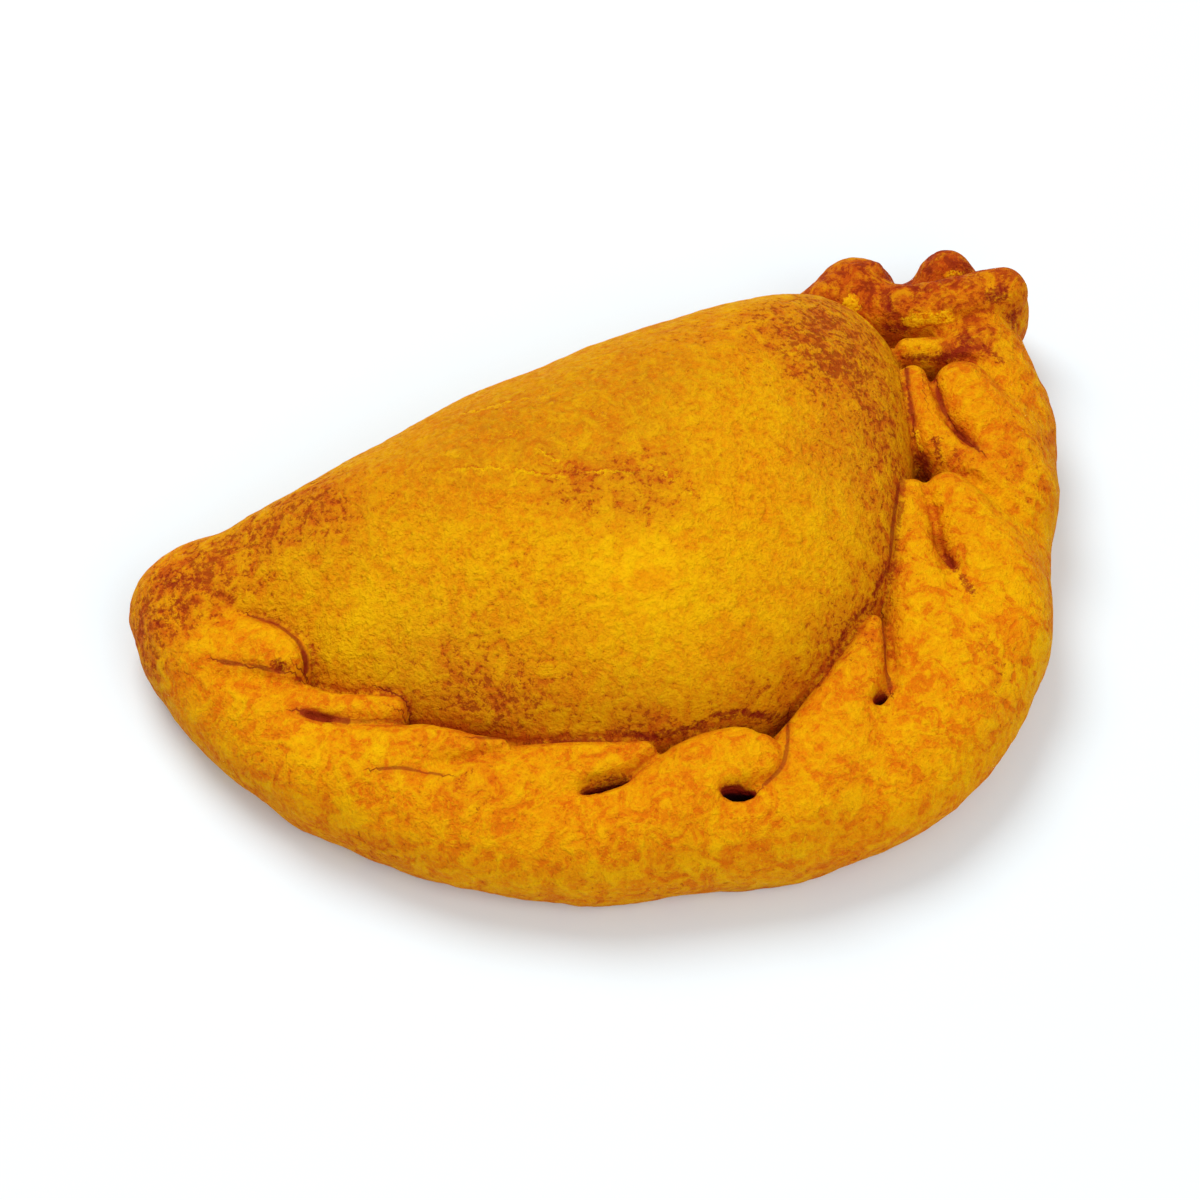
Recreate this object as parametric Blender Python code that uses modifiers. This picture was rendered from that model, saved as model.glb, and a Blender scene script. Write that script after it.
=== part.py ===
"""A baked half-moon empanada: a filled pillow, a rolled rim and its braided folds.

The form is one distance-like field built from named parts.  A round blank is pressed onto
that field, evened out by a voxel remesh, drawn back onto the field and then thinned to a
light closed solid that rests on its flat bottom.
"""

import math

import bpy
import numpy as np

MM = 0.001

# Driving dimensions, millimetres.  +X runs along the folded back edge towards the knot,
# +Y towards that edge, -Y towards the braided rim, +Z up from the tray.

PILLOW_MIDDLE = (-4.0, 16.0)
PILLOW_WAIST = 9.0          # height at which the pillow is widest
PILLOW_RISE = 28.0          # height of the top above the waist
PILLOW_TAPER = 0.24         # share of that rise lost towards the left tip
TAPER_SPAN = (-15.0, -68.0)     # x over which it is lost
PILLOW_FULLNESS = 2.3       # 2 is an ellipse, more is boxier
PILLOW_FOOT = 7.0           # how far its foot spreads below the rim
FOOT_SPAN = (32.0, 20.0)    # y over which that foot appears
PILLOW_DROP = 30.0          # reach below the waist, cut off flat by the tray
PILLOW_EDGE = [             # plan of the pillow: x, y
    (-66, 30), (-59.6, 17.8), (-54.3, 7.6), (-44.6, -4.3), (-30.9, -15.6), (-14.4, -24.2),
    (2.2, -26.2), (16.8, -22.0), (30.0, -13.0), (40.6, 1.6), (47.8, 13.8), (51, 27),
    (46, 38.2), (30, 43.0), (7, 44.5), (-20, 44.4), (-44, 42.2), (-62, 40.0),
]
TIP_X, TIP_Y = (-48.0, -62.0), (21.0, 31.0)     # spans over which the left tip begins
TIP_BLEND = 8.0             # extra rounding there, where rim and pillow become one

ROPE_HEIGHT = 9.1           # middle of the rolled rim above the tray
ROPE_CROWN = 8.4            # from that middle up to the top of the rim
UNDERSIDE = 1.5             # how far a roll's lower half would reach below the tray
ROPE = [                    # middle line of the rim, left tip to knot: x, y, half width
    (-65.8, 34.0, 8.8), (-67.0, 25.0, 8.2), (-65.2, 14.0, 8.6), (-60.4, 2.6, 8.6),
    (-52.6, -9.6, 8.4), (-42.8, -20.4, 8.4), (-30.0, -28.7, 8.6), (-15.5, -34.0, 8.8),
    (0.0, -37.4, 9.9), (15.2, -36.8, 11.6), (29.6, -29.2, 12.2), (41.6, -17.2, 10.8),
    (53.0, -1.8, 9.0), (61.0, 10.4, 8.6), (62.4, 22.5, 7.4),
]

# Folds of the braid, each from its tail in the rim to its tip against the pillow:
# lift above the common height, then x, y, half width.
FOLD_TAIL_HEIGHT = 9.5
FOLD_TIP_RISE = 4.4
FOLD_CROWN = 4.3            # from a fold's middle up to its top, before its width adds to it
FOLD_SWELL = 0.45           # share of the half width that adds to that
FOLD_FULLNESS = 2.7         # section of a fold: 2 is an ellipse, more is boxier
FOLDS = {
    "first": (0.6, [(-69.5, 28, 4.0), (-65.9, 22.3, 5.4), (-60.8, 18.1, 5.2), (-58.5, 14.8, 4.4)]),
    "finger": (0.0, [
        (-67, 15.5, 3.0), (-61.3, 9.4, 3.4), (-54.9, 4.1, 2.9),
        (-49.7, 0.6, 2.6), (-47.6, -0.5, 2.2),
    ]),
    "third": (0.0, [
        (-60.5, -1.2, 4.0), (-54.3, -4.7, 5.0), (-46.3, -8.1, 4.2),
        (-40.4, -11.4, 2.2), (-36.4, -13.4, 1.2),
    ]),
    "fourth": (0.0, [
        (-48.6, -14.5, 4.5), (-38.5, -16.9, 5.2), (-30.4, -19.8, 4.4),
        (-23.7, -22.7, 3.6), (-18.6, -23.6, 2.0),
    ]),
    "fifth": (0.2, [
        (-29.5, -30, 4.5), (-21, -31, 6.0), (-13.1, -30.2, 6.4),
        (-7.5, -30.8, 5.8), (-4.9, -32.2, 4.6),
    ]),
    "sixth": (0.2, [
        (-9.5, -37.5, 4.5), (-1.7, -37.8, 6.8), (7.4, -32.3, 6.6),
        (14.7, -26.3, 4.8), (19, -22.2, 3.2), (21.5, -19.3, 1.9),
    ]),
    "seventh": (0.2, [
        (25.8, -35, 6.0), (28, -26.2, 6.6), (31, -17, 5.7),
        (33.9, -10.2, 4.1), (37, -3.5, 3.2), (38.4, -1, 3.0),
    ]),
    "eighth": (0.2, [(40.1, -25.4, 6.5), (42.5, -17.1, 6.9), (43.6, -8.5, 5.4), (43.4, -3.4, 4.1)]),
    "ninth": (0.0, [
        (53.5, -6, 4.0), (52, -1, 4.2), (48.8, 3.4, 3.9),
        (47.4, 8.1, 3.6), (48.2, 13.5, 3.1), (49.6, 18.4, 2.6),
    ]),
    "tenth": (0.0, [(55.7, -3.8, 5.0), (55.6, 2.4, 5.8), (55.4, 8.8, 5.8), (55.6, 13.4, 4.9)]),
    "shelf": (0.0, [(64.5, 17, 3.0), (60, 20.3, 2.8), (55.6, 22.1, 2.4), (51.6, 23.7, 2.2)]),
    "band": (0.6, [
        (50, 40.5, 5.0), (54, 34.4, 4.6), (59, 30.8, 4.3),
        (66, 28.2, 4.3), (71, 27.2, 3.9),
    ]),
}
KNOT = [                    # lumps of the knot: x, y, z, radii
    (51.8, 40.4, 11.0, 6.8, 6.0, 8.0),
    (46.5, 39.5, 10.0, 7.5, 5.0, 8.5),
    (66.8, 37.0, 11.5, 4.8, 4.6, 5.2),
    (70.4, 28.4, 10.5, 5.2, 6.2, 7.0),
    (65.0, 21.8, 10.0, 5.6, 4.8, 8.2),
]
KNOT_FOOT = (61.0, 33.0, 1.0, 15.0, 11.0, 12.0)     # one mass under those lumps
PITS = [                    # hollows where a fold tucks under the next: x, y, z, radii, turn
    (-57.9, 3.2, 17.6, 2.2, 0.4, 2.8, -35),
    (-26.3, -26.0, 17.0, 3.6, 0.7, 7.0, -13),
    (-9.9, -36.0, 17.0, 2.5, 1.0, 8.0, -27),
    (16.5, -30.7, 17.5, 1.8, 0.6, 7.0, 28),
    (37.4, -13.2, 17.5, 2.8, 0.3, 5.0, -90),
    (50.6, 5.0, 18.0, 3.0, 0.3, 4.0, -80),
    (42.9, 2.8, 17.0, 2.6, 1.2, 8.0, -99),
    (52.0, 29.6, 18.0, 2.2, 0.6, 3.0, -38),
]
PIT_REACH = 9.0             # nothing farther than this from a pit is touched by it

# Rounding where parts meet: least, then how much a fold's soft tail adds.
CREASE, TAIL_BLEND, TAIL_SHARE = 1.1, 4.5, (0.1, 0.5)
RIM_CREASE, RIM_BLEND, RIM_SHARE = 1.2, 3.5, (0.1, 0.8)
KNOT_CREASE, KNOT_BLEND = 1.8, 3.0
PIT_EDGE = 1.3
GROOVE = 2.0                # where the rim meets the pillow

# The blank and the mesh.
SEGMENTS, RINGS = 300, 84
CAP, RIM_END = 0.68, 0.985  # shares of the blank, pole to pole, for the top and down to the foot
BLANK_MIDDLE = (2.0, 2.0)
TOP_RAY, RIM_RAY = 55.0, 40.0     # how far out the rays start
FAN = (90, -60)             # degrees, from straight up to under the rim
SPINE_BACK = [(55, 32), (40, 30), (20, 30), (-5, 30), (-30, 30), (-52, 31), (-64, 33)]
VOXEL = 0.75
TRIANGLES = 11400

CRUST_COLOUR = (0.72, 0.33, 0.02, 1)
CRUST_ROUGHNESS = 0.62


def smooth(low, high, x):
    t = np.clip((x - low) / (high - low), 0, 1)
    return t * t * (3 - 2 * t)


def merge(a, b, k):
    """Rounded union; also returns how much of `a` is left in the mix."""
    h = np.clip(0.5 + 0.5 * (b - a) / k, 0, 1)
    return b + (a - b) * h - k * h * (1 - h), h


def carve(a, b, k):
    return -merge(-a, b, k)[0]


def curve(rows, count, closed=False):
    """Catmull-Rom curve through the rows."""
    rows = np.asarray(rows, float)
    n = len(rows) if closed else len(rows) - 1
    u = np.linspace(0, n, count, endpoint=not closed)
    i = np.minimum(u.astype(int), n - 1)
    t = (u - i)[:, None]
    if closed:
        a, b, c, d = (rows[(i + k) % n] for k in (-1, 0, 1, 2))
    else:
        rows = np.vstack([2 * rows[0] - rows[1], rows, 2 * rows[-1] - rows[-2]])
        a, b, c, d = (rows[i + k] for k in range(4))
    straight, bend, twist = c - a, 2 * a - 5 * b + 4 * c - d, 3 * b - a - 3 * c + d
    return b + 0.5 * (straight * t + bend * t**2 + twist * t**3)


def distance(shape, slope):
    """Distance-like value from a shape's level, 1 on its surface, and its slope."""
    return shape * (shape - 1) / (slope + 1e-9)


def blob(p, middle, radii):
    q = (p - np.array(middle)) / np.array(radii)
    return distance(np.sqrt((q**2).sum(1)), np.sqrt(((q / np.array(radii)) ** 2).sum(1)))


class Roll:
    """A tapering roll of dough along a plan curve: rows of x, y, middle height, half width, crown."""

    SKIP = 8.0              # beyond this from its plan box, a roll is only roughly far away
    FAR = 6.0

    def __init__(self, rows, count, fullness=2.0):
        self.rows = curve(rows, count)
        self.fullness = fullness
        self.low = (self.rows[:, :2] - self.rows[:, 3:4]).min(0)
        self.high = (self.rows[:, :2] + self.rows[:, 3:4]).max(0)

    def nearest(self, q):
        best, at = np.full(len(q), 1e9), np.zeros(len(q))
        for k, (a, b) in enumerate(zip(self.rows[:-1, :2], self.rows[1:, :2])):
            d = b - a
            t = np.clip(((q - a) @ d) / max(d @ d, 1e-9), 0, 1)
            r = ((q - a - t[:, None] * d) ** 2).sum(1)
            closer = r < best
            best[closer], at[closer] = r[closer], k + t[closer]
        return np.sqrt(best), at

    def field(self, p):
        """Distance-like value and the share of the way from tail to tip."""
        gap = np.maximum(np.maximum(self.low - p[:, :2], p[:, :2] - self.high), 0)
        gap = np.hypot(gap[:, 0], gap[:, 1])
        value, share = gap + self.FAR, np.zeros(len(p))
        m = gap < self.SKIP
        if m.any():
            away, at = self.nearest(p[m, :2])
            i = np.minimum(at.astype(int), len(self.rows) - 2)
            f = (at - i)[:, None]
            _, _, height, width, crown = (self.rows[i] * (1 - f) + self.rows[i + 1] * f).T
            dz = p[m, 2] - height
            crown = np.where(dz < 0, height + UNDERSIDE, crown)
            across, up = away / width, np.abs(dz) / crown
            shape = (across**self.fullness + up**self.fullness) ** (1 / self.fullness)
            value[m] = distance(shape, np.hypot(across / width, up / crown))
            share[m] = at / (len(self.rows) - 1)
        return value, share


class Empanada:
    """The whole form as a field: below zero inside, above zero outside."""

    def __init__(self):
        self.rope = Roll([(x, y, ROPE_HEIGHT, w, ROPE_CROWN) for x, y, w in ROPE], 50)
        self.folds = []
        for lift, rows in FOLDS.values():
            full = []
            for k, (x, y, w) in enumerate(rows):
                rise = 1 - (1 - k / (len(rows) - 1)) ** 2
                height = FOLD_TAIL_HEIGHT + (FOLD_TIP_RISE + lift) * rise
                full.append((x, y, height, w, FOLD_CROWN + FOLD_SWELL * w))
            self.folds.append(Roll(full, 4 * len(rows) - 2, FOLD_FULLNESS))
        edge = curve(PILLOW_EDGE, 720, closed=True) - np.array(PILLOW_MIDDLE)
        angle = np.arctan2(edge[:, 1], edge[:, 0])
        order = np.argsort(angle)
        self.angle = np.concatenate([angle[order] + turn for turn in (-2 * math.pi, 0, 2 * math.pi)])
        self.reach = np.tile(np.hypot(*edge[order].T), 3)

    def pillow(self, p):
        q = p[:, :2] - np.array(PILLOW_MIDDLE)
        edge = np.interp(np.arctan2(q[:, 1], q[:, 0]), self.angle, self.reach)
        dz = p[:, 2] - PILLOW_WAIST
        edge = edge + PILLOW_FOOT * smooth(0, -4, dz) * smooth(*FOOT_SPAN, p[:, 1])
        rise = PILLOW_RISE * (1 - PILLOW_TAPER * smooth(*TAPER_SPAN, p[:, 0]))
        rise = np.where(dz > 0, rise, PILLOW_DROP)
        out, up = np.hypot(q[:, 0], q[:, 1]) / edge, np.abs(dz) / rise
        shape = (out**PILLOW_FULLNESS + up**PILLOW_FULLNESS) ** (1 / PILLOW_FULLNESS)
        return distance(shape, np.hypot(out / edge, up / rise))

    def braid(self, p):
        """All folds and the knot, with the share of the way to the tip of the fold in front."""
        folds, share = np.full(len(p), 9.0), np.full(len(p), 1.0)
        for fold in self.folds:
            value, along = fold.field(p)
            soft = TAIL_BLEND * (1 - smooth(*TAIL_SHARE, np.maximum(share, along)))
            folds, kept = merge(folds, value, CREASE + soft)
            share = share * kept + along * (1 - kept)
        for x, y, z, *radii in KNOT:
            folds, _ = merge(folds, blob(p, (x, y, z), radii), KNOT_CREASE)
        folds, _ = merge(folds, blob(p, KNOT_FOOT[:3], KNOT_FOOT[3:]), KNOT_BLEND)
        return folds, share

    def rim(self, p):
        rope, _ = self.rope.field(p)
        folds, share = self.braid(p)
        return merge(rope, folds, RIM_CREASE + RIM_BLEND * (1 - smooth(*RIM_SHARE, share)))[0]

    def value(self, p):
        tip = smooth(*TIP_X, p[:, 0]) * smooth(*TIP_Y, p[:, 1])
        out, _ = merge(self.pillow(p), self.rim(p), GROOVE + TIP_BLEND * tip)
        for x, y, z, along, across, deep, turn in PITS:
            m = np.hypot(p[:, 0] - x, p[:, 1] - y) < PIT_REACH
            if m.any():
                c, s = math.cos(math.radians(turn)), math.sin(math.radians(turn))
                q = p[m] - np.array([x, y, z])
                q = np.column_stack([q[:, 0] * c + q[:, 1] * s, q[:, 1] * c - q[:, 0] * s, q[:, 2]])
                out[m] = carve(out[m], blob(q, (0, 0, 0), (along, across, deep)), PIT_EDGE)
        return np.maximum(out, -p[:, 2])


def spine():
    """Closed plan curve well inside the solid, with smoothed outward normals."""
    line = curve([row[:2] for row in ROPE[1:]] + SPINE_BACK, 2000, closed=True)
    way = np.roll(line, -1, 0) - np.roll(line, 1, 0)
    normal = np.stack([way[:, 1], -way[:, 0]], 1)
    normal /= np.linalg.norm(normal, axis=1)[:, None]
    for _ in range(60):
        normal = (np.roll(normal, 1, 0) + normal + np.roll(normal, -1, 0)) / 3
    normal /= np.linalg.norm(normal, axis=1)[:, None]
    return line, normal


def rays(blank):
    """Start, direction and length of the ray that brings each vertex of the blank to the form."""
    line, normal = spine()
    outer = line + 10 * normal
    pace = sum(np.linalg.norm(np.roll(c, -1, 0) - c, axis=1) for c in (line, outer))
    travel = np.concatenate([[0], np.cumsum(pace)])
    azimuth = (np.arctan2(blank[:, 1], blank[:, 0]) / (2 * math.pi)) % 1.0
    at = np.interp(azimuth * travel[-1], travel[:-1], np.arange(len(line)))
    i = at.astype(int)
    f = (at - i)[:, None]
    foot = line[i] * (1 - f) + line[(i + 1) % len(line)] * f
    out = normal[i] * (1 - f) + normal[(i + 1) % len(line)] * f
    out /= np.linalg.norm(out, axis=1)[:, None]

    polar = np.arccos(np.clip(blank[:, 2], -1, 1)) / math.pi
    inward = np.clip(polar / CAP, 0, 1)[:, None]
    fan = np.clip((polar - CAP) / (RIM_END - CAP), 0, 1)
    tilt = np.radians(FAN[0] + (FAN[1] - FAN[0]) * fan)
    middle = np.array(BLANK_MIDDLE)
    start = np.column_stack([middle + (foot - middle) * inward, np.where(fan > 0, ROPE_HEIGHT - 0.6, 0)])
    way = np.column_stack([out * np.cos(tilt)[:, None], np.sin(tilt)])
    return start, way, np.where(fan > 0, RIM_RAY, TOP_RAY), polar > 0.99


def press(blank, form):
    """Move every vertex of a unit UV sphere along its own ray onto the form."""
    rounds, stride, near = 80, 0.8, 0.01
    start, way, dist, pole = rays(blank)
    live = np.arange(len(dist))
    for _ in range(rounds):
        value = form.value(start[live] + way[live] * dist[live, None])
        dist[live] = np.maximum(dist[live] - stride * value, 0)
        live = live[(np.abs(value) > near) & (dist[live] > 0)]
        if not len(live):
            break
    points = start + way * dist[:, None]
    points[pole] = (*BLANK_MIDDLE, 0.0)
    return points


def settle(points, form, rounds=3):
    """Draw points back onto the form along its slope; what is near the tray lies flat on it."""
    tick, floor, stride = 0.05, 0.3, 0.3
    loose = points[:, 2] > floor
    for _ in range(rounds):
        p = points[loose]
        value = form.value(p)
        slope = np.stack([form.value(p + tick * axis) - value for axis in np.eye(3)], 1) / tick
        steep = np.sqrt((slope**2).sum(1)) + 1e-3
        points[loose] = p - slope * (np.clip(value / steep, -stride, stride) / steep)[:, None]
    points[points[:, 2] < floor, 2] = 0.0
    return points


def coordinates(mesh):
    flat = np.empty(len(mesh.vertices) * 3)
    mesh.vertices.foreach_get("co", flat)
    return flat.reshape(-1, 3)


def apply_modifier(piece, kind, **settings):
    modifier = piece.modifiers.new(kind.title(), kind)
    for name, value in settings.items():
        setattr(modifier, name, value)
    bpy.context.view_layer.objects.active = piece
    bpy.ops.object.modifier_apply(modifier=modifier.name)


def move_to_centre(mesh):
    """Origin below the middle of the bounding box, on the tray."""
    points = coordinates(mesh)
    low, high = points.min(0), points.max(0)
    points -= np.array([(low[0] + high[0]) / 2, (low[1] + high[1]) / 2, low[2]])
    mesh.vertices.foreach_set("co", points.ravel())
    mesh.update()


def crust_material():
    material = bpy.data.materials.new("crust")
    material.use_nodes = True
    shader = material.node_tree.nodes["Principled BSDF"]
    shader.inputs["Base Color"].default_value = CRUST_COLOUR
    shader.inputs["Roughness"].default_value = CRUST_ROUGHNESS
    return material


def make_crust():
    form = Empanada()
    bpy.ops.mesh.primitive_uv_sphere_add(segments=SEGMENTS, ring_count=RINGS, radius=1)
    piece = bpy.context.object
    piece.name = piece.data.name = "crust"
    piece.data.vertices.foreach_set("co", (press(coordinates(piece.data), form) * MM).ravel())
    piece.data.update()

    apply_modifier(piece, "REMESH", mode="VOXEL", voxel_size=VOXEL * MM)
    piece.data.vertices.foreach_set("co", (settle(coordinates(piece.data) / MM, form) * MM).ravel())
    piece.data.update()
    apply_modifier(piece, "SMOOTH", factor=0.5, iterations=3)
    piece.data.calc_loop_triangles()
    apply_modifier(piece, "DECIMATE", ratio=TRIANGLES / len(piece.data.loop_triangles))
    apply_modifier(piece, "TRIANGULATE")

    move_to_centre(piece.data)
    piece.data.shade_smooth()
    piece.data.materials.clear()
    piece.data.materials.append(crust_material())
    return piece


def main():
    for item in list(bpy.data.objects):
        bpy.data.objects.remove(item, do_unlink=True)
    crust = make_crust()
    shelf = bpy.data.collections.new("empanada")
    bpy.context.scene.collection.children.link(shelf)
    for home in list(crust.users_collection):
        home.objects.unlink(crust)
    shelf.objects.link(crust)


main()
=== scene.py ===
import math

import bpy
import numpy as np
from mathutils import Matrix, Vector, noise


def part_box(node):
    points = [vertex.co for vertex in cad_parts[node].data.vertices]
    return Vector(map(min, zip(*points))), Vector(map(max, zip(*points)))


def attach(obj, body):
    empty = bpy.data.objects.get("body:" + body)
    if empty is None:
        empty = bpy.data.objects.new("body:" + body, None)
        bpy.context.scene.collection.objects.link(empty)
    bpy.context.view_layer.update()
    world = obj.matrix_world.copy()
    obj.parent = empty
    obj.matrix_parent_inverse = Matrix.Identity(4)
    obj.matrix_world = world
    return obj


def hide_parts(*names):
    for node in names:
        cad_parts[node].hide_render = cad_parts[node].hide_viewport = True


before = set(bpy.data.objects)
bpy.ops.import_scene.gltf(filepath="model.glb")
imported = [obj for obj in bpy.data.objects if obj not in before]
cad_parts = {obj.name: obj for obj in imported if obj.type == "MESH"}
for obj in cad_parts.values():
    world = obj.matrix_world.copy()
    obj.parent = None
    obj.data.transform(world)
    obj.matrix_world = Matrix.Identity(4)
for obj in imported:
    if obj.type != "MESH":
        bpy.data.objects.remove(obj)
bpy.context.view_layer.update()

# Looks of the baked empanada: one fine crust that replaces the plain solid.
#
# The crust repeats the solid's own field of named parts at a finer grain, adds the low relief
# of baked dough, and carries per-vertex facts (toasted patches, hollows, cracks) that its
# procedural material turns into colour, painted shade and painted highlight among it.

MM = 0.001

# Driving dimensions, millimetres.  +X runs along the folded back edge towards the knot,
# +Y towards that edge, -Y towards the braided rim, +Z up from the tray.

PILLOW_MIDDLE = (-4.0, 16.0)
PILLOW_WAIST = 9.0          # height at which the pillow is widest
PILLOW_RISE = 28.0          # height of the top above the waist
PILLOW_TAPER = 0.24         # share of that rise lost towards the left tip
TAPER_SPAN = (-15.0, -68.0)     # x over which it is lost
PILLOW_FULLNESS = 2.3       # 2 is an ellipse, more is boxier
PILLOW_FOOT = 7.0           # how far its foot spreads below the rim
FOOT_SPAN = (32.0, 20.0)    # y over which that foot appears
PILLOW_DROP = 30.0          # reach below the waist, cut off flat by the tray
PILLOW_EDGE = [             # plan of the pillow: x, y
    (-66, 30), (-59.6, 17.8), (-54.3, 7.6), (-44.6, -4.3), (-30.9, -15.6), (-14.4, -24.2),
    (2.2, -26.2), (16.8, -22.0), (30.0, -13.0), (40.6, 1.6), (47.8, 13.8), (51, 27),
    (46, 38.2), (30, 43.0), (7, 44.5), (-20, 44.4), (-44, 42.2), (-62, 40.0),
]
TIP_X, TIP_Y = (-48.0, -62.0), (21.0, 31.0)     # spans over which the left tip begins
TIP_BLEND = 8.0             # extra rounding there, where rim and pillow become one

ROPE_HEIGHT = 9.1           # middle of the rolled rim above the tray
ROPE_CROWN = 8.4            # from that middle up to the top of the rim
UNDERSIDE = 1.5             # how far a roll's lower half would reach below the tray
ROPE = [                    # middle line of the rim, left tip to knot: x, y, half width
    (-65.8, 34.0, 8.8), (-67.0, 25.0, 8.2), (-65.2, 14.0, 8.6), (-60.4, 2.6, 8.6),
    (-52.6, -9.6, 8.4), (-42.8, -20.4, 8.4), (-30.0, -28.7, 8.6), (-15.5, -34.0, 8.8),
    (0.0, -37.4, 9.9), (15.2, -36.8, 11.6), (29.6, -29.2, 12.2), (41.6, -17.2, 10.8),
    (53.0, -1.8, 9.0), (61.0, 10.4, 8.6), (62.4, 22.5, 7.4),
]

# Folds of the braid, each from its tail in the rim to its tip against the pillow:
# lift above the common height, then x, y, half width.
FOLD_TAIL_HEIGHT = 9.5
FOLD_TIP_RISE = 4.4
FOLD_CROWN = 4.3            # from a fold's middle up to its top, before its width adds to it
FOLD_SWELL = 0.45           # share of the half width that adds to that
FOLD_FULLNESS = 2.7         # section of a fold: 2 is an ellipse, more is boxier
FOLDS = {
    "first": (0.6, [(-69.5, 28, 4.0), (-65.9, 22.3, 5.4), (-60.8, 18.1, 5.2), (-58.5, 14.8, 4.4)]),
    "finger": (0.0, [
        (-67, 15.5, 3.0), (-61.3, 9.4, 3.4), (-54.9, 4.1, 2.9),
        (-49.7, 0.6, 2.6), (-47.6, -0.5, 2.2),
    ]),
    "third": (0.0, [
        (-60.5, -1.2, 4.0), (-54.3, -4.7, 5.0), (-46.3, -8.1, 4.2),
        (-40.4, -11.4, 2.2), (-36.4, -13.4, 1.2),
    ]),
    "fourth": (0.0, [
        (-48.6, -14.5, 4.5), (-38.5, -16.9, 5.2), (-30.4, -19.8, 4.4),
        (-23.7, -22.7, 3.6), (-18.6, -23.6, 2.0),
    ]),
    "fifth": (0.2, [
        (-29.5, -30, 4.5), (-21, -31, 6.0), (-13.1, -30.2, 6.4),
        (-7.5, -30.8, 5.8), (-4.9, -32.2, 4.6),
    ]),
    "sixth": (0.2, [
        (-9.5, -37.5, 4.5), (-1.7, -37.8, 6.8), (7.4, -32.3, 6.6),
        (14.7, -26.3, 4.8), (19, -22.2, 3.2), (21.5, -19.3, 1.9),
    ]),
    "seventh": (0.2, [
        (25.8, -35, 6.0), (28, -26.2, 6.6), (31, -17, 5.7),
        (33.9, -10.2, 4.1), (37, -3.5, 3.2), (38.4, -1, 3.0),
    ]),
    "eighth": (0.2, [(40.1, -25.4, 6.5), (42.5, -17.1, 6.9), (43.6, -8.5, 5.4), (43.4, -3.4, 4.1)]),
    "ninth": (0.0, [
        (53.5, -6, 4.0), (52, -1, 4.2), (48.8, 3.4, 3.9),
        (47.4, 8.1, 3.6), (48.2, 13.5, 3.1), (49.6, 18.4, 2.6),
    ]),
    "tenth": (0.0, [(55.7, -3.8, 5.0), (55.6, 2.4, 5.8), (55.4, 8.8, 5.8), (55.6, 13.4, 4.9)]),
    "shelf": (0.0, [(64.5, 17, 3.0), (60, 20.3, 2.8), (55.6, 22.1, 2.4), (51.6, 23.7, 2.2)]),
    "band": (0.6, [
        (50, 40.5, 5.0), (54, 34.4, 4.6), (59, 30.8, 4.3),
        (66, 28.2, 4.3), (71, 27.2, 3.9),
    ]),
}
KNOT = [                    # lumps of the knot: x, y, z, radii
    (51.8, 40.4, 11.0, 6.8, 6.0, 8.0),
    (46.5, 39.5, 10.0, 7.5, 5.0, 8.5),
    (66.8, 37.0, 11.5, 4.8, 4.6, 5.2),
    (70.4, 28.4, 10.5, 5.2, 6.2, 7.0),
    (65.0, 21.8, 10.0, 5.6, 4.8, 8.2),
]
KNOT_FOOT = (61.0, 33.0, 1.0, 15.0, 11.0, 12.0)     # one mass under those lumps
PITS = [                    # hollows where a fold tucks under the next: x, y, z, radii, turn
    (-59.8, 12.2, 19.6, 0.9, 0.5, 1.0, -40),
    (-57.9, 3.2, 17.6, 2.2, 0.4, 2.8, -35),
    (-26.3, -26.0, 17.0, 3.6, 0.7, 7.0, -13),
    (-9.9, -36.0, 17.0, 2.5, 1.0, 8.0, -27),
    (16.5, -30.7, 17.5, 1.8, 0.6, 7.0, 28),
    (37.4, -13.2, 17.5, 2.8, 0.3, 5.0, -90),
    (50.6, 5.0, 18.0, 3.0, 0.3, 4.0, -80),
    (42.9, 2.8, 17.0, 2.6, 1.2, 8.0, -99),
    (52.0, 29.6, 18.0, 2.2, 0.6, 3.0, -38),
]
PIT_REACH = 9.0             # nothing farther than this from a pit is touched by it

# Rounding where parts meet: least, then how much a fold's soft tail adds.
CREASE, TAIL_BLEND, TAIL_SHARE = 0.9, 4.5, (0.1, 0.5)
RIM_CREASE, RIM_BLEND, RIM_SHARE = 1.2, 3.5, (0.1, 0.8)
KNOT_CREASE, KNOT_BLEND = 1.8, 3.0
PIT_EDGE = 1.3
GROOVE = 1.8                # where the rim meets the pillow
SEAM = (0.35, 0.9)          # the line pressed into that groove: depth, half width

# The blank and the mesh.
SEGMENTS, RINGS = 420, 120
CAP, RIM_END = 0.68, 0.985  # shares of the blank, pole to pole, for the top and down to the foot
BLANK_MIDDLE = (2.0, 2.0)
TOP_RAY, RIM_RAY = 55.0, 40.0     # how far out the rays start
FAN = (90, -60)             # degrees, from straight up to under the rim
SPINE_BACK = [(55, 32), (40, 30), (20, 30), (-5, 30), (-30, 30), (-52, 31), (-64, 33)]
VOXEL = 0.5
TRIANGLES = 190000
SKIN_RELIEF = [             # low relief: height, size across, octaves, seed
    (0.35, 17.0, 2, 1), (0.16, 5.0, 3, 2), (0.07, 1.8, 2, 3),
]
KNOT_RELIEF = (0.6, 6.0, 3, 4)      # the lumps that the knot has besides
NEAR_REACH, FAR_REACH = 1.2, 4.0    # how far out from the skin narrow and wide hollows are felt


def smooth(low, high, x):
    t = np.clip((x - low) / (high - low), 0, 1)
    return t * t * (3 - 2 * t)


def merge(a, b, k):
    """Rounded union; also returns how much of `a` is left in the mix."""
    h = np.clip(0.5 + 0.5 * (b - a) / k, 0, 1)
    return b + (a - b) * h - k * h * (1 - h), h


def carve(a, b, k):
    return -merge(-a, b, k)[0]


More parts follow.
